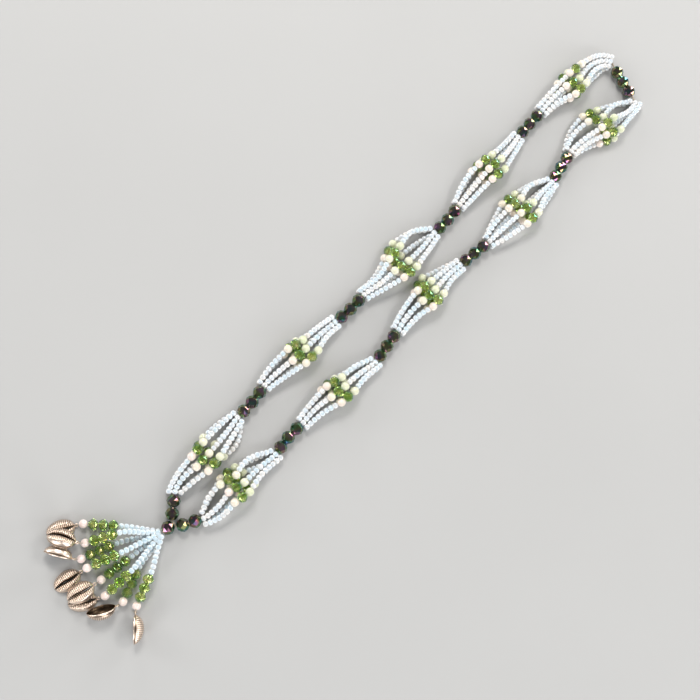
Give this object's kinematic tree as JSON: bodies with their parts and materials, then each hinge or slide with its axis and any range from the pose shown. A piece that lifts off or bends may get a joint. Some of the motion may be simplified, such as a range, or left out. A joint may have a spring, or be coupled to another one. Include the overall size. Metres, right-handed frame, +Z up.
{
  "type": "bead necklace",
  "caption": "Long beaded necklace laid flat: multi-strand lanterns of seed beads and green crystals, and a fringed tassel of metal shell charms.",
  "frame": {"origin": "middle of the bounding box in plan, on the table the necklace lies on", "axes": "+Y from the tassel along the two chains to the far end of the loop, +Z up from the table, +X to the right of the chains"},
  "size_m": [0.098, 0.5739, 0.0167],
  "materials": {
    "seed_glass": "milky gloss",
    "green_crystal": "faceted clear",
    "dark_crystal": "faceted with a metallic sheen",
    "shell_metal": "polished plating",
    "thread": "fine bead thread"
  },
  "bodies": {
    "root": {"charm_1": "shell_metal", "charm_2": "shell_metal", "charm_3": "shell_metal", "charm_4": "shell_metal", "charm_5": "shell_metal", "charm_6": "shell_metal", "charm_7": "shell_metal", "charm_8": "shell_metal", "crystals_a1": "green_crystal", "crystals_a2": "green_crystal", "crystals_a3": "green_crystal", "crystals_a4": "green_crystal", "crystals_a5": "green_crystal", "crystals_b1": "green_crystal", "crystals_b2": "green_crystal", "crystals_b3": "green_crystal", "crystals_b4": "green_crystal", "crystals_b5": "green_crystal", "fringe_1": "seed_glass", "fringe_2": "seed_glass", "fringe_3": "seed_glass", "fringe_4": "seed_glass", "fringe_5": "seed_glass", "fringe_6": "seed_glass", "fringe_7": "seed_glass", "fringe_8": "seed_glass", "fringe_crystals_1": "green_crystal", "fringe_crystals_2": "green_crystal", "fringe_crystals_3": "green_crystal", "fringe_crystals_4": "green_crystal", "fringe_crystals_5": "green_crystal", "fringe_crystals_6": "green_crystal", "fringe_crystals_7": "green_crystal", "fringe_crystals_8": "green_crystal", "join_bead": "dark_crystal", "knot": "seed_glass", "lantern_a1": "seed_glass", "lantern_a2": "seed_glass", "lantern_a3": "seed_glass", "lantern_a4": "seed_glass", "lantern_a5": "seed_glass", "lantern_b1": "seed_glass", "lantern_b2": "seed_glass", "lantern_b3": "seed_glass", "lantern_b4": "seed_glass", "lantern_b5": "seed_glass", "leg_a": "dark_crystal", "leg_b": "dark_crystal", "spacer_a1": "dark_crystal", "spacer_a2": "dark_crystal", "spacer_a3": "dark_crystal", "spacer_a4": "dark_crystal", "spacer_b1": "dark_crystal", "spacer_b2": "dark_crystal", "spacer_b3": "dark_crystal", "spacer_b4": "dark_crystal", "spacer_top": "dark_crystal", "thread": "thread"}
  },
  "joints": []
}
